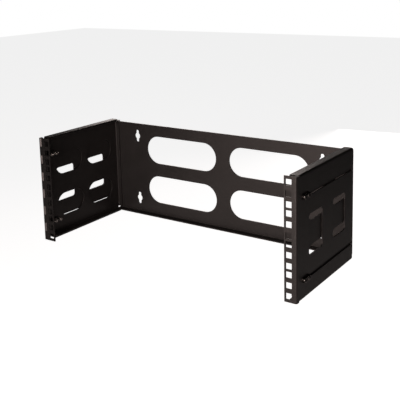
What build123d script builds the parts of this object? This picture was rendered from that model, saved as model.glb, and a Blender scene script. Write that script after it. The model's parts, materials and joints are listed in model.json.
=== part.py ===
"""Swing-out wall bracket for 19-inch equipment, four units high, in folded sheet steel.

A back panel and two side channels are fixed to the wall. An outer side plate slides on each
channel, held by two screws in long slots. The right plate carries a rack rail folded from the
same sheet. The left rack rail hangs on a piano hinge at the front of the left plate.

Millimetres. X runs to the right, Y towards the wall and Z up. The wall face is Y = 0.
"""

from build123d import *
import os

os.makedirs("parts", exist_ok=True)

# Sheet
sheet = 2.0
bend_inside = 1.0
slide_gap = 0.3

# Rack opening, after the 19-inch standard
rail_opening = 451.0
hole_column_inset = 7.05
hole_square = 9.5
unit_height = 44.45
unit_hole_margin = 6.35
unit_hole_pitch = 15.875
unit_hole_count = 3
unit_count = 4
plate_height = 183.0
right_rail_width = 19.8
left_rail_width = 14.5
rail_centre_x = 4.0

# Depth from the wall face to the rails, and what stands back from either end of it
depth = 203.0
plate_back_gap = 11.0
channel_front_inset = 17.0
right_flange_inset = 7.5
left_flange_inset = 15.0
hinge_tongue_inset = 9.0

# Side channels and plates
flange_width = 15.0
channel_flange_back = 5.5
rear_tab_width = 10.0
back_panel_side_gap = 2.0

# Back panel
panel_top = 85.5
panel_flange_width = 14.0
panel_corner_gap = 1.5
vent_length = 155.0
vent_height = 52.0
vent_spacing_x = 183.0
vent_spacing_z = 76.8
keyhole_round = 12.0
keyhole_neck = 6.5
keyhole_length = 23.0
keyhole_spacing_x = 385.0
keyhole_spacing_z = 122.6

# Openings in the sides
side_centre_z = -2.0
side_vent_height = 39.0
side_vent_front_inset = 35.0
side_vent_back = 21.0
side_vent_web = 13.0
window_width = 44.0
window_height = 61.0
window_corner = 5.0
window_offset_y = 8.5

# Slots and their screws
slot_width = 5.5
slot_front_inset = 17.0
slot_back = 15.0
screw_row_inset = 30.8
screw_front_inset = 21.5
screw_spacing_y = 11.0
screw_diameter = 5.0
thread_gap = 0.05
head_diameter = 8.6
head_height = 3.2
head_dome = 1.6
recess_length = 4.8
recess_width = 1.1
recess_depth = 1.7
screw_tip_length = 7.0
washer_diameter = 9.8
washer_hole = 5.5
washer_thickness = 1.0
washer_gap = 0.1
nut_diameter = 8.2
nut_height = 2.2
nut_spigot = 6.6
nut_seat_gap = 0.05

# Piano hinge
hinge_sheet = 2.0
knuckle_diameter = 7.0
pin_diameter = 3.0
pin_gap = 0.05
knuckle_count = 12
knuckle_gap = 0.3
knuckle_relief = 0.6
fixed_leaf_gap = 0.5
leaf_end_gap = 4.5

# Worked out from the sizes above
half_height = plate_height / 2
bend_outside = bend_inside + sheet
plate_face = rail_centre_x + rail_opening / 2 + right_rail_width
plate_inner = plate_face - sheet
channel_face = plate_inner - slide_gap
channel_inner = channel_face - sheet
channel_half_height = half_height - sheet - slide_gap
rail_back = depth - sheet
hole_column = rail_opening / 2 + hole_column_inset
channel_front = depth - channel_front_inset
right_flange_front = depth - right_flange_inset
left_flange_front = depth - left_flange_inset
hinge_tongue_front = depth - hinge_tongue_inset
fixed_leaf_back = channel_front + fixed_leaf_gap
tab_centre_y = -1.5 * sheet
slot_front = depth - slot_front_inset
screw_rows = [side_centre_z + side * (half_height - screw_row_inset) for side in (1, -1)]
screw_places = [depth - screw_front_inset - n * screw_spacing_y for n in (1, 0)]
side_vent_front = depth - side_vent_front_inset
side_vent_length = (side_vent_front - side_vent_back - side_vent_web) / 2
side_vent_pitch = side_vent_length + side_vent_web
side_vent_centres = [
    side_vent_front - side_vent_length / 2 - n * side_vent_pitch for n in range(2)
]
window_centres = [y + window_offset_y for y in side_vent_centres]
hole_heights = [
    unit_height * (unit_count / 2 - unit) - unit_hole_margin - n * unit_hole_pitch
    for unit in range(unit_count)
    for n in range(unit_hole_count)
]
pin_y = -depth + knuckle_diameter / 2
pin_x = -plate_inner + knuckle_diameter / 2
knuckle_pitch = plate_height / knuckle_count
leaf_half_height = half_height - leaf_end_gap
leaf_root = knuckle_diameter / 2 + knuckle_relief


def export(part, name):
    """Labels a finished piece and writes it under its own name."""
    part.label = name
    export_step(part, f"parts/{name}.step")


def fold(points, plane, length):
    """Adds a strip of sheet, folded along the centre line through the points, to the open part."""
    with BuildSketch(plane) as section:
        with BuildLine():
            FilletPolyline(*points, radius=bend_inside + sheet / 2)
        trace(line_width=sheet)
    extrude(section.sketch, amount=length)


def fold_channel(side, face, half, back, front):
    """Adds a C section whose web stands at X = side * face, with both flanges turned inwards."""
    centre = face - sheet / 2
    fold(
        [
            (side * (face - flange_width), half - sheet / 2),
            (side * centre, half - sheet / 2),
            (side * centre, sheet / 2 - half),
            (side * (face - flange_width), sheet / 2 - half),
        ],
        Plane.XZ.offset(back),
        front - back,
    )


def cut_sideways(sketch):
    """Cuts a sketch drawn on the YZ plane through the side that the open part stands on."""
    extrude(sketch, amount=2 * plate_face, both=True, mode=Mode.SUBTRACT)


def cut_plate_openings():
    """Cuts the two windows and the two long screw slots of an outer side plate."""
    with BuildSketch(Plane.YZ) as openings:
        with Locations(*[(-y, side_centre_z) for y in window_centres]):
            RectangleRounded(window_width, window_height, window_corner)
        with Locations(*[(-(slot_front + slot_back) / 2, z) for z in screw_rows]):
            SlotOverall(slot_front - slot_back, slot_width)
    cut_sideways(openings.sketch)


def cut_rack_holes(x):
    """Cuts the column of square holes of a rack rail."""
    with BuildSketch(Plane.XZ.offset(rail_back)) as holes:
        with Locations(*[(x, z) for z in hole_heights]):
            Rectangle(hole_square, hole_square)
    extrude(holes.sketch, amount=sheet, mode=Mode.SUBTRACT)


def facing_out(side, x, y, z):
    """The plane across the axis of a screw at depth y, at side * x and looking out of that side."""
    return Plane(origin=(side * x, -y, z), x_dir=(0, 1, 0), z_dir=(side, 0, 0))


def add_screw_set(side, y, z, place):
    """Makes one screw with its washer and clinch nut, and writes all three."""
    # Clinch nut: a round body on the channel's inner face with its spigot in the sheet
    with BuildPart() as clinch_nut:
        with BuildSketch(facing_out(side, channel_inner, y, z)):
            Circle(nut_diameter / 2)
        extrude(amount=-nut_height)
        with BuildSketch(facing_out(side, channel_inner, y, z)):
            Circle(nut_spigot / 2 - nut_seat_gap)
        extrude(amount=sheet)
        with BuildSketch(facing_out(side, channel_inner - nut_height, y, z)):
            Circle(screw_diameter / 2 + thread_gap)
        extrude(amount=nut_height + sheet, mode=Mode.SUBTRACT)
    export(clinch_nut.part, f"clinch_nut_{place}")

    # Washer under the screw's head, on the outside of the sliding plate
    with BuildPart() as washer:
        with BuildSketch(facing_out(side, plate_face + washer_gap, y, z)):
            Circle(washer_diameter / 2)
            Circle(washer_hole / 2, mode=Mode.SUBTRACT)
        extrude(amount=washer_thickness)
    export(washer.part, f"washer_{place}")

    # Cross-head screw through washer, slot, channel and clinch nut
    head_seat = plate_face + washer_gap + washer_thickness
    shank_length = head_seat - (channel_inner - nut_height - screw_tip_length)
    with BuildPart() as screw:
        with BuildSketch(facing_out(side, head_seat, y, z)):
            Circle(head_diameter / 2)
        head = extrude(amount=head_height)
        top_face = head.faces().sort_by(Axis.X)[-1 if side > 0 else 0]
        fillet(top_face.edges(), radius=head_dome)
        with BuildSketch(facing_out(side, head_seat + head_height - recess_depth, y, z)):
            Rectangle(recess_length, recess_width)
            Rectangle(recess_width, recess_length)
        extrude(amount=recess_depth, mode=Mode.SUBTRACT)
        with BuildSketch(facing_out(side, head_seat, y, z)):
            Circle(screw_diameter / 2)
        extrude(amount=-shank_length)
    export(screw.part, f"screw_{place}")


# Back panel: a flat sheet on the wall with one stiffening flange along its lower edge
panel_half_width = channel_face - back_panel_side_gap
panel_fold_z = bend_outside - channel_half_height
panel_flange_half = channel_inner - panel_corner_gap
notch_front = panel_flange_width + panel_corner_gap
with BuildPart() as back_panel:
    with BuildSketch(Plane.XZ):
        with Locations((0, (panel_top + panel_fold_z) / 2)):
            Rectangle(2 * panel_half_width, panel_top - panel_fold_z)
        with GridLocations(vent_spacing_x, vent_spacing_z, 2, 2):
            SlotOverall(vent_length, vent_height, mode=Mode.SUBTRACT)
        with GridLocations(keyhole_spacing_x, keyhole_spacing_z, 2, 2):
            Circle(keyhole_round / 2, mode=Mode.SUBTRACT)
            SlotOverall(keyhole_length, keyhole_neck, rotation=90, mode=Mode.SUBTRACT)
    extrude(amount=sheet)
    fold(
        [
            (-sheet / 2, panel_fold_z + sheet),
            (-sheet / 2, sheet / 2 - channel_half_height),
            (-panel_flange_width, sheet / 2 - channel_half_height),
        ],
        Plane.YZ.offset(-panel_flange_half),
        2 * panel_flange_half,
    )
export(back_panel.part, "back_panel")

for side, name in ((-1, "left"), (1, "right")):
    # Side channel: a C section with a tab at its back, welded to the front of the back panel
    with BuildPart() as frame_side:
        fold_channel(side, channel_face, channel_half_height, channel_flange_back, channel_front)
        fold(
            [
                (side * (channel_face - sheet / 2), -channel_flange_back),
                (side * (channel_face - sheet / 2), tab_centre_y),
                (side * (channel_face - rear_tab_width), tab_centre_y),
            ],
            Plane.XY.offset(-panel_top),
            2 * panel_top,
        )
        with BuildSketch(Plane.YZ) as openings:
            for row in (1, -1):
                with Locations(
                    *[(-y, side_centre_z + row * vent_spacing_z / 2) for y in side_vent_centres]
                ):
                    SlotOverall(side_vent_length, side_vent_height)
            with Locations(*[(-y, z) for y in screw_places for z in screw_rows]):
                Circle(nut_spigot / 2)
        cut_sideways(openings.sketch)
        # The lower flange is notched, so that the panel's flange reaches the web
        with BuildSketch(Plane.XY.offset(-channel_half_height)):
            with Locations((side * (channel_inner - flange_width / 2), -notch_front / 2)):
                Rectangle(flange_width, notch_front)
        extrude(amount=bend_outside, mode=Mode.SUBTRACT)
    export(frame_side.part, f"frame_side_{name}")

    for z, row in zip(screw_rows, ("upper", "lower")):
        for y, end in zip(screw_places, ("", "_front")):
            add_screw_set(side, y, z, f"{name}_{row}{end}")

# Right side plate: a C section with the right rack rail folded in at its front
with BuildPart() as side_plate_right:
    fold_channel(1, plate_face, half_height, plate_back_gap, right_flange_front)
    fold(
        [
            (plate_face - sheet / 2, -right_flange_front),
            (plate_face - sheet / 2, sheet / 2 - depth),
            (plate_face - right_rail_width, sheet / 2 - depth),
        ],
        Plane.XY.offset(-half_height),
        plate_height,
    )
    cut_plate_openings()
    cut_rack_holes(rail_centre_x + hole_column)
export(side_plate_right.part, "side_plate_right")

# Left side plate: the same C section, with a tongue in front of its flanges for the hinge
with BuildPart() as side_plate_left:
    fold_channel(-1, plate_face, half_height, plate_back_gap, left_flange_front)
    with BuildSketch(Plane.XZ.offset(left_flange_front)):
        with Locations((sheet / 2 - plate_face, 0)):
            Rectangle(sheet, 2 * leaf_half_height)
    extrude(amount=hinge_tongue_front - left_flange_front)
    cut_plate_openings()
export(side_plate_left.part, "side_plate_left")

# Left rack rail: a flat strip welded edge to edge to the hinge's moving leaf
rail_free_edge = rail_centre_x - rail_opening / 2
with BuildPart() as rack_rail_left:
    with BuildSketch(Plane.XZ.offset(rail_back)):
        with Locations((rail_free_edge - left_rail_width / 2, 0)):
            Rectangle(left_rail_width, plate_height)
    extrude(amount=sheet)
    cut_rack_holes(rail_centre_x - hole_column)
export(rack_rail_left.part, "rack_rail_left")


def add_knuckles(first, leaf_strip_centre, leaf_strip_size):
    """Adds every second knuckle of the hinge, joined to its leaf by a tangent strip."""
    for n in range(first, knuckle_count, 2):
        bottom = n * knuckle_pitch - half_height + knuckle_gap / 2
        with BuildSketch(Plane.XY.offset(bottom)) as ring:
            with Locations((pin_x, pin_y)):
                Circle(knuckle_diameter / 2)
            with Locations(leaf_strip_centre):
                Rectangle(*leaf_strip_size)
            with Locations((pin_x, pin_y)):
                Circle(pin_diameter / 2 + pin_gap, mode=Mode.SUBTRACT)
        extrude(ring.sketch, amount=knuckle_pitch - knuckle_gap)


# Fixed leaf, on the inner face of the left side plate
fixed_leaf_front = pin_y + leaf_root
with BuildPart() as hinge_leaf_fixed:
    with BuildSketch(Plane.XY.offset(-leaf_half_height)):
        with Locations((hinge_sheet / 2 - plate_inner, (fixed_leaf_front - fixed_leaf_back) / 2)):
            Rectangle(hinge_sheet, -fixed_leaf_back - fixed_leaf_front)
    extrude(amount=2 * leaf_half_height)
    add_knuckles(
        1,
        (hinge_sheet / 2 - plate_inner, pin_y + leaf_root / 2),
        (hinge_sheet, leaf_root),
    )
export(hinge_leaf_fixed.part, "hinge_leaf_fixed")

# Moving leaf, in line with the left rack rail
moving_leaf_end = rail_free_edge - left_rail_width
moving_leaf_root = pin_x + leaf_root
with BuildPart() as hinge_leaf_moving:
    with BuildSketch(Plane.XY.offset(-half_height)):
        with Locations(((moving_leaf_root + moving_leaf_end) / 2, hinge_sheet / 2 - depth)):
            Rectangle(moving_leaf_end - moving_leaf_root, hinge_sheet)
    extrude(amount=plate_height)
    add_knuckles(
        0,
        (pin_x + leaf_root / 2, hinge_sheet / 2 - depth),
        (leaf_root, hinge_sheet),
    )
export(hinge_leaf_moving.part, "hinge_leaf_moving")

# Hinge pin through all the knuckles
with BuildPart() as hinge_pin:
    with BuildSketch(Plane.XY.offset(-half_height)):
        with Locations((pin_x, pin_y)):
            Circle(pin_diameter / 2)
    extrude(amount=plate_height)
export(hinge_pin.part, "hinge_pin")
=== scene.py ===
"""Looks of the swing-out wall bracket: rounded edges, powder coat, screws, light and camera."""

import bmesh
import bpy
import json
import math
from mathutils import Matrix, Vector


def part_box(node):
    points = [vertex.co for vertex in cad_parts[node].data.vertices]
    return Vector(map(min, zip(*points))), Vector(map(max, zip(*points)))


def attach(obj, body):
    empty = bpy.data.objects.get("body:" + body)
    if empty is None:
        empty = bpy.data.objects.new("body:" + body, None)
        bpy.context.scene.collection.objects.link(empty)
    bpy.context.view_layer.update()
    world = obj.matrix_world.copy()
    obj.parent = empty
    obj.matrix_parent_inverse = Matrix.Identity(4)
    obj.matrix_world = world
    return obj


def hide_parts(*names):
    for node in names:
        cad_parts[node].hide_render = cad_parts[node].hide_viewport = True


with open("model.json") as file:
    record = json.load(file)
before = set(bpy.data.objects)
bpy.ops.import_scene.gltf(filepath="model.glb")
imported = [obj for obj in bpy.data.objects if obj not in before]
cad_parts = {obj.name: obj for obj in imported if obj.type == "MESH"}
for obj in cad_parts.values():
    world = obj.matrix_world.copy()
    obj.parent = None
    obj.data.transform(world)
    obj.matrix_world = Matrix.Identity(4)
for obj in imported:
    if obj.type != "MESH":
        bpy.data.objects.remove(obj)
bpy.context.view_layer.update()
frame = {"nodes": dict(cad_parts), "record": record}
nodes = frame["nodes"]
record = frame["record"]
body_of = {node: body for body, held in record["behaviour"]["bodies"].items() for node in held}
scene = bpy.context.scene
mm = 0.001


class Value:
    """A socket in a material, so that shader maths reads as plain expressions."""

    def __init__(self, tree, socket):
        self.tree = tree
        self.socket = socket

    def math(self, operation, *others):
        return self.tree.node("Math", {"operation": operation}, self, *others)

    def __add__(self, other):
        return self.math("ADD", other)

    __radd__ = __add__

    def __sub__(self, other):
        return self.math("SUBTRACT", other)

    def __rsub__(self, other):
        return self.tree.node("Math", {"operation": "SUBTRACT"}, other, self)

    def __mul__(self, other):
        return self.math("MULTIPLY", other)

    __rmul__ = __mul__

    def clamp(self):
        return self.tree.node("Clamp", {}, self)


class Finish:
    """A material or world tree, whose nodes are made by node()."""

    def __init__(self, tree):
        self.nodes = tree.nodes
        self.links = tree.links

    def node(self, kind, settings, *values, output=0, **named):
        """Adds a node: its settings first, then values or links for its sockets."""
        made = self.nodes.new("ShaderNode" + kind)
        for key, setting in settings.items():
            if key == "stops":
                for stop, (position, colour) in zip(made.color_ramp.elements, setting):
                    stop.position = position
                    stop.color = (*colour, 1)
            else:
                setattr(made, key, setting)
        for key, value in (*enumerate(values), *named.items()):
            self.plug(made.inputs[key], value)
        return Value(self, made.outputs[output])

    def plug(self, socket, value):
        if isinstance(value, Value):
            self.links.new(value.socket, socket)
        else:
            socket.default_value = value

    def noise(self, scale, detail=2.0, roughness=0.5):
        place = self.node("TexCoord", {}, output="Object")
        named = {"Vector": place, "Scale": scale, "Detail": detail, "Roughness": roughness}
        return self.node("TexNoise", {}, **named)

    def feed(self, kind, **sockets):
        """Sets or links the sockets of the tree's own shader, named with underscores."""
        for key, value in sockets.items():
            self.plug(self.nodes[kind].inputs[key.replace("_", " ")], value)


def new_material(name):
    material = bpy.data.materials.new(name)
    material.use_nodes = True
    return material, Finish(material.node_tree)


# The coat's warm cast, in its colour and in its gloss
warm_tint = (1.0, 0.89, 0.86, 1)


def two_shades(colour, darker, lighter):
    """Ramp stops for a darker and a lighter shade of one colour."""
    return [(0.3, tuple(c * darker for c in colour)), (0.7, tuple(c * lighter for c in colour))]


def powder_coat(name, depth, gloss, shine=0.5):
    """Baked powder coat: fine orange peel, a slow change of gloss and a hint of dust."""
    material, coat = new_material(name)
    peel = coat.noise(1400, 3, 0.55)
    waves = coat.noise(260, 2)
    cloud = coat.noise(9, 4, 0.6)
    colour = [depth * c for c in warm_tint[:3]]
    tone = coat.node("ValToRGB", {"stops": two_shades(colour, 0.86, 1.14)}, cloud)
    height = peel * 0.7 + waves * 0.3
    bump = coat.node("Bump", {}, Strength=0.22, Distance=0.4 * mm, Height=height)
    coat.feed(
        "Principled BSDF",
        Base_Color=tone,
        Roughness=(gloss - 0.05 + cloud * 0.1).clamp(),
        Normal=bump,
        Specular_IOR_Level=shine,
        Specular_Tint=warm_tint,
    )
    return material


def polish(steel, tone, stain, gloss):
    """Feeds the steel's shader: its tone, stained gloss and faint turning marks."""
    scratch = steel.noise(2600, 2)
    bump = steel.node("Bump", {}, Strength=0.15, Distance=0.2 * mm, Height=scratch)
    steel.feed(
        "Principled BSDF",
        Base_Color=tone,
        Metallic=1.0,
        Roughness=(gloss - 0.08 + stain * 0.16).clamp(),
        Normal=bump,
    )


def plated_steel(name, colour, gloss):
    """Plated steel with faint turning marks and stains."""
    material, steel = new_material(name)
    stain = steel.noise(420, 4, 0.6)
    tone = steel.node("ValToRGB", {"stops": two_shades(colour, 0.75, 1.2)}, stain)
    polish(steel, tone, stain, gloss)
    return material


def screw_steel_painted_light(name, painted_shade_colour, painted_highlight_colour, gloss):
    """Plated steel of one finish, painted dark on the head as painted shade and bright on the
    shank and its thread as a painted highlight.
    """
    material, steel = new_material(name)
    stain = steel.noise(420, 4, 0.6)
    place = steel.node("TexCoord", {}, output="Object")
    from_middle = steel.node("SeparateXYZ", {}, place, output="X").math("ABSOLUTE")
    # Where the painted highlight goes: the shank, nearer the middle than the heads
    painted_highlight_mask = from_middle.math("LESS_THAN", head_underside)
    stops = [(0.15, painted_shade_colour), (0.85, painted_highlight_colour)]
    tone = steel.node("ValToRGB", {"stops": stops}, painted_highlight_mask * 0.5 + stain * 0.5)
    polish(steel, tone, stain, gloss)
    return material


# How far from the middle the screws' heads begin
head_underside = 248 * mm

sheet_coat = powder_coat("black_powder_coat", 0.0115, 0.37)
# Left rail and moving hinge leaf: the same powder coat painted darker, as painted shade
rail_coat_painted_shade = powder_coat("rail_painted_shade_coat", 0.005, 0.42, 0.3)
# Fixed hinge leaf: the same powder coat painted much lighter, as a painted highlight on its
# knuckles
hinge_coat_painted_highlight = powder_coat("hinge_painted_highlight_coat", 0.045, 0.3, 1.0)
# One screw finish painted as shade on the heads and as a highlight on the shanks
painted_shade_head, painted_highlight_shank = (0.03, 0.026, 0.024), (0.62, 0.56, 0.53)
screw_painted_light = screw_steel_painted_light("screw_painted_light_steel", painted_shade_head, painted_highlight_shank, 0.24)
washer_plate = plated_steel("black_zinc_plate", (0.05, 0.044, 0.041), 0.34)
pin_steel = plated_steel("pin_steel", (0.5, 0.49, 0.47), 0.3)

for node, cad_object in nodes.items():
    if node.startswith("screw"):
        finish = screw_painted_light
    elif node.startswith("washer"):
        finish = washer_plate
    elif node == "hinge_pin":
        finish = pin_steel
    elif node == "hinge_leaf_fixed":
        finish = hinge_coat_painted_highlight
    elif node in ("rack_rail_left", "hinge_leaf_moving"):
        finish = rail_coat_painted_shade
    else:
        finish = sheet_coat
    cad_object.data.materials.clear()
    cad_object.data.materials.append(finish)


# Points closer than this are one point
same_point, cut_tolerance = 0.001 * mm, 0.0001 * mm
sharp_angle = math.radians(40)


def merged_copy(node):
    """The node's own mesh as a bmesh, with its doubles merged and its flat faces whole."""
    shape = bmesh.new()
    shape.from_mesh(nodes[node].data)
    bmesh.ops.remove_doubles(shape, verts=shape.verts, dist=same_point)
    bmesh.ops.dissolve_limit(
        shape,
        angle_limit=math.radians(1),
        verts=shape.verts,
        edges=shape.edges,
        delimit={"NORMAL"},
    )
    return shape


def round_edges(shape, radius, segments=2):
    """Rounds the sharp edges, as a cut edge is under its coat."""
    sharp = [edge for edge in shape.edges if edge.calc_face_angle() > sharp_angle]
    bmesh.ops.bevel(
        shape,
        geom=sharp,
        offset=radius,
        offset_type="OFFSET",
        segments=segments,
        profile=0.5,
        affect="EDGES",
        material=-1,
        clamp_overlap=True,
    )


def raise_vents(shape, side):
    """Grows a side channel's vents up and down, as the light through the slots shows."""
    for y in vent_centres_y:
        for z in vent_centres_z:
            rim = [
                vert
                for vert in shape.verts
                if abs(vert.co.y - y) < vent_half_length + vent_margin
                and abs(vert.co.z - z) < vent_half_height + vent_margin
                and side * vert.co.x > channel_inner - vent_margin
            ]
            stretch = (vent_half_height + vent_growth) / vent_half_height
            here = Matrix.Translation((0, 0, -z))
            bmesh.ops.scale(shape, vec=(1, 1, stretch), space=here, verts=rim)


def stand_for(node, shape, ending):
    """Makes the shape a piece that stands for the node, with its finish and body."""
    mesh = bpy.data.meshes.new(f"{node}_{ending}")
    shape.to_mesh(mesh)
    shape.free()
    mesh.polygons.foreach_set("use_smooth", [True] * len(mesh.polygons))
    mesh.materials.append(nodes[node].data.materials[0])
    piece = bpy.data.objects.new(mesh.name, mesh)
    scene.collection.objects.link(piece)
    piece.modifiers.new("even_normals", "WEIGHTED_NORMAL")
    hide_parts(node)
    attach(piece, body_of[node])


# Vents of the side channels
vent_centres_y, vent_centres_z = (-134.5 * mm, -54.5 * mm), (36.4 * mm, -40.4 * mm)
vent_half_length, vent_half_height, vent_growth = 33.5 * mm, 19.5 * mm, 0.8 * mm
channel_inner, vent_margin = 245 * mm, 0.1 * mm

# Coated sheet, hinge, washers and nuts: the same shapes with their edges rounded
coated_edge, washer_edge, nut_edge, pin_edge = 0.7 * mm, 0.2 * mm, 0.4 * mm, 0.3 * mm
for node in nodes:
    if node.startswith("screw"):
        continue
    rounded = merged_copy(node)
    if node.startswith("washer"):
        round_edges(rounded, washer_edge)
    elif node.startswith("clinch_nut"):
        round_edges(rounded, nut_edge)
    elif node == "hinge_pin":
        round_edges(rounded, pin_edge)
    else:
        if node.startswith("frame_side"):
            raise_vents(rounded, 1 if node.endswith("right") else -1)
        round_edges(rounded, coated_edge)
    stand_for(node, rounded, "rounded")

# Screws: the head and shank as they are, and a cut thread on the free tip
head_edge = 0.15 * mm
tip_length = 7 * mm
thread_radius, core_radius = 2.5 * mm, 2.08 * mm
thread_pitch = 0.8 * mm
thread_crest, thread_root = 0.08 * mm, 0.36 * mm
steps_per_turn = 16
core_sides, core_chamfer = 24, 0.5 * mm
buried_root, buried_end = 0.1 * mm, 0.4 * mm


def add_thread(shape, start, length):
    """Adds a core with a pointed end and a ridge that winds round it, along X from start."""
    turns = round(length / thread_pitch) - 1
    first = start + 1.2 * thread_pitch
    ridge = [
        shape.verts.new((first + x, 0, radius))
        for x, radius in (
            (-thread_root, core_radius - buried_root),
            (-thread_crest, thread_radius),
            (thread_crest, thread_radius),
            (thread_root, core_radius - buried_root),
        )
    ]
    face = shape.faces.new(ridge)
    bmesh.ops.spin(
        shape,
        geom=[face],
        cent=(0, 0, 0),
        axis=(1, 0, 0),
        dvec=(thread_pitch / steps_per_turn, 0, 0),
        angle=2 * math.pi * turns,
        steps=turns * steps_per_turn,
    )
    middle = Matrix.Translation((start + length / 2, 0, 0))
    core = bmesh.ops.create_cone(
        shape,
        cap_ends=True,
        segments=core_sides,
        radius1=core_radius,
        radius2=core_radius,
        depth=length,
        matrix=middle @ Matrix.Rotation(math.pi / 2, 4, "Y"),
    )
    end_x = start + length - same_point
    end_edges = {
        edge
        for vert in core["verts"]
        for edge in vert.link_edges
        if all(v.co.x > end_x for v in edge.verts)
    }
    bmesh.ops.bevel(
        shape,
        geom=list(end_edges),
        offset=core_chamfer,
        offset_type="OFFSET",
        segments=1,
        profile=0.5,
        affect="EDGES",
        material=-1,
    )


for node in nodes:
    if not node.startswith("screw"):
        continue
    low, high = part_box(node)
    outwards = 1 if low[0] > 0 else -1
    tip_x = low[0] if outwards > 0 else high[0]
    tip = Vector((tip_x, (low[1] + high[1]) / 2, (low[2] + high[2]) / 2))
    neck = tip + Vector((outwards * tip_length, 0, 0))
    screw = merged_copy(node)
    whole = [*screw.verts, *screw.edges, *screw.faces]
    cut = bmesh.ops.bisect_plane(
        screw,
        geom=whole,
        dist=cut_tolerance,
        plane_co=neck,
        plane_no=(-outwards, 0, 0),
        clear_outer=True,
    )
    rim = [item for item in cut["geom_cut"] if isinstance(item, bmesh.types.BMEdge)]
    bmesh.ops.holes_fill(screw, edges=rim)
    round_edges(screw, head_edge)
    thread = bmesh.new()
    add_thread(thread, -buried_end, tip_length + buried_end)
    bmesh.ops.recalc_face_normals(thread, faces=thread.faces)
    turn = Matrix.Rotation(math.pi if outwards > 0 else 0, 4, "Z")
    bmesh.ops.transform(thread, matrix=Matrix.Translation(neck) @ turn, verts=thread.verts)
    thread_mesh = bpy.data.meshes.new("thread")
    thread.to_mesh(thread_mesh)
    thread.free()
    screw.from_mesh(thread_mesh)
    bpy.data.meshes.remove(thread_mesh)
    stand_for(node, screw, "threaded")

# Camera, placed by fitting the rack's known sizes to the photograph
camera_place = (0.6899, -1.0633, 0.3674)
camera_yaw, camera_pitch, camera_roll = 34.71, -9.89, -1.38
camera_lens, camera_shift = 66.26, -0.25
camera_data = bpy.data.cameras.new("camera")
camera_data.sensor_width = 36
camera_data.lens = camera_lens
camera_data.shift_y = camera_shift
camera_data.clip_end = 20
camera = bpy.data.objects.new("camera", camera_data)
scene.collection.objects.link(camera)
camera.matrix_world = (
    Matrix.Translation(camera_place)
    @ Matrix.Rotation(math.radians(camera_yaw), 4, "Z")
    @ Matrix.Rotation(math.radians(90 + camera_pitch), 4, "X")
    @ Matrix.Rotation(math.radians(camera_roll), 4, "Z")
)
scene.camera = camera


def softbox(name, place, size, power, spread=180):
    """A square lamp that faces the bracket, with a grid that narrows its spread in degrees."""
    lamp_data = bpy.data.lights.new(name, "AREA")
    lamp_data.shape = "SQUARE"
    lamp_data.size = size
    lamp_data.energy = power
    lamp_data.color = lamp_colour
    lamp_data.spread = math.radians(spread)
    lamp = bpy.data.objects.new(name, lamp_data)
    scene.collection.objects.link(lamp)
    aim = (bracket_middle - Vector(place)).to_track_quat("-Z", "Y")
    lamp.matrix_world = Matrix.Translation(place) @ aim.to_matrix().to_4x4()


# Lamps: one slightly warm key from the front, weak fills, and a glow on the top flanges
bracket_middle = Vector((0, -0.1, 0))
lamp_colour = (1.0, 0.9, 0.86)
softbox("key_light", (0.4, -2.2, 0.35), 0.6, 42)
softbox("low_fill", (-0.5, -2.0, -0.05), 0.8, 5)
softbox("side_fill", (1.0, -1.45, 0.55), 0.25, 1.6)
softbox("backdrop_glow", (-1.3, 1.76, 0.62), 0.9, 0.65, 45)
softbox("back_fill", (-0.3, 1.9, -0.1), 0.6, 4, 90)

white = (1, 1, 1, 1)


def own_light(tree, seen, mirrored):
    """What the camera sees of a surface's own light, and what gloss and glass show of it."""
    camera_ray = tree.node("LightPath", {}, output="Is Camera Ray")
    glossy_ray = tree.node("LightPath", {}, output="Is Glossy Ray")
    glass_ray = tree.node("LightPath", {}, output="Is Transmission Ray")
    return camera_ray * seen + (glossy_ray + glass_ray) * mirrored


# Pale floor below the bracket, which the camera sees as white
floor_drop, floor_size = 0.32, 12
floor_seen, floor_mirrored = 0.86, 0.012
floor_grey = (0.6, 0.6, 0.6, 1)
floor_material, floor_paint = new_material("pale_floor")
floor_paint.feed(
    "Principled BSDF",
    Base_Color=floor_grey,
    Roughness=0.8,
    Emission_Color=white,
    Emission_Strength=own_light(floor_paint, floor_seen, floor_mirrored),
)
bpy.ops.mesh.primitive_plane_add(size=floor_size, location=(0, 0, -floor_drop))
floor = bpy.context.object
floor.name = "floor"
floor.data.materials.append(floor_material)

# Room: white to the camera, and a little light for the rest
room_light, room_mirrored = 0.015, -0.005
world = bpy.data.worlds.new("studio")
scene.world = world
world.use_nodes = True
room = Finish(world.node_tree)
room_strength = own_light(room, 1 - room_light, room_mirrored) + room_light
room.feed("Background", Color=white, Strength=room_strength)

scene.view_settings.view_transform = "Standard"
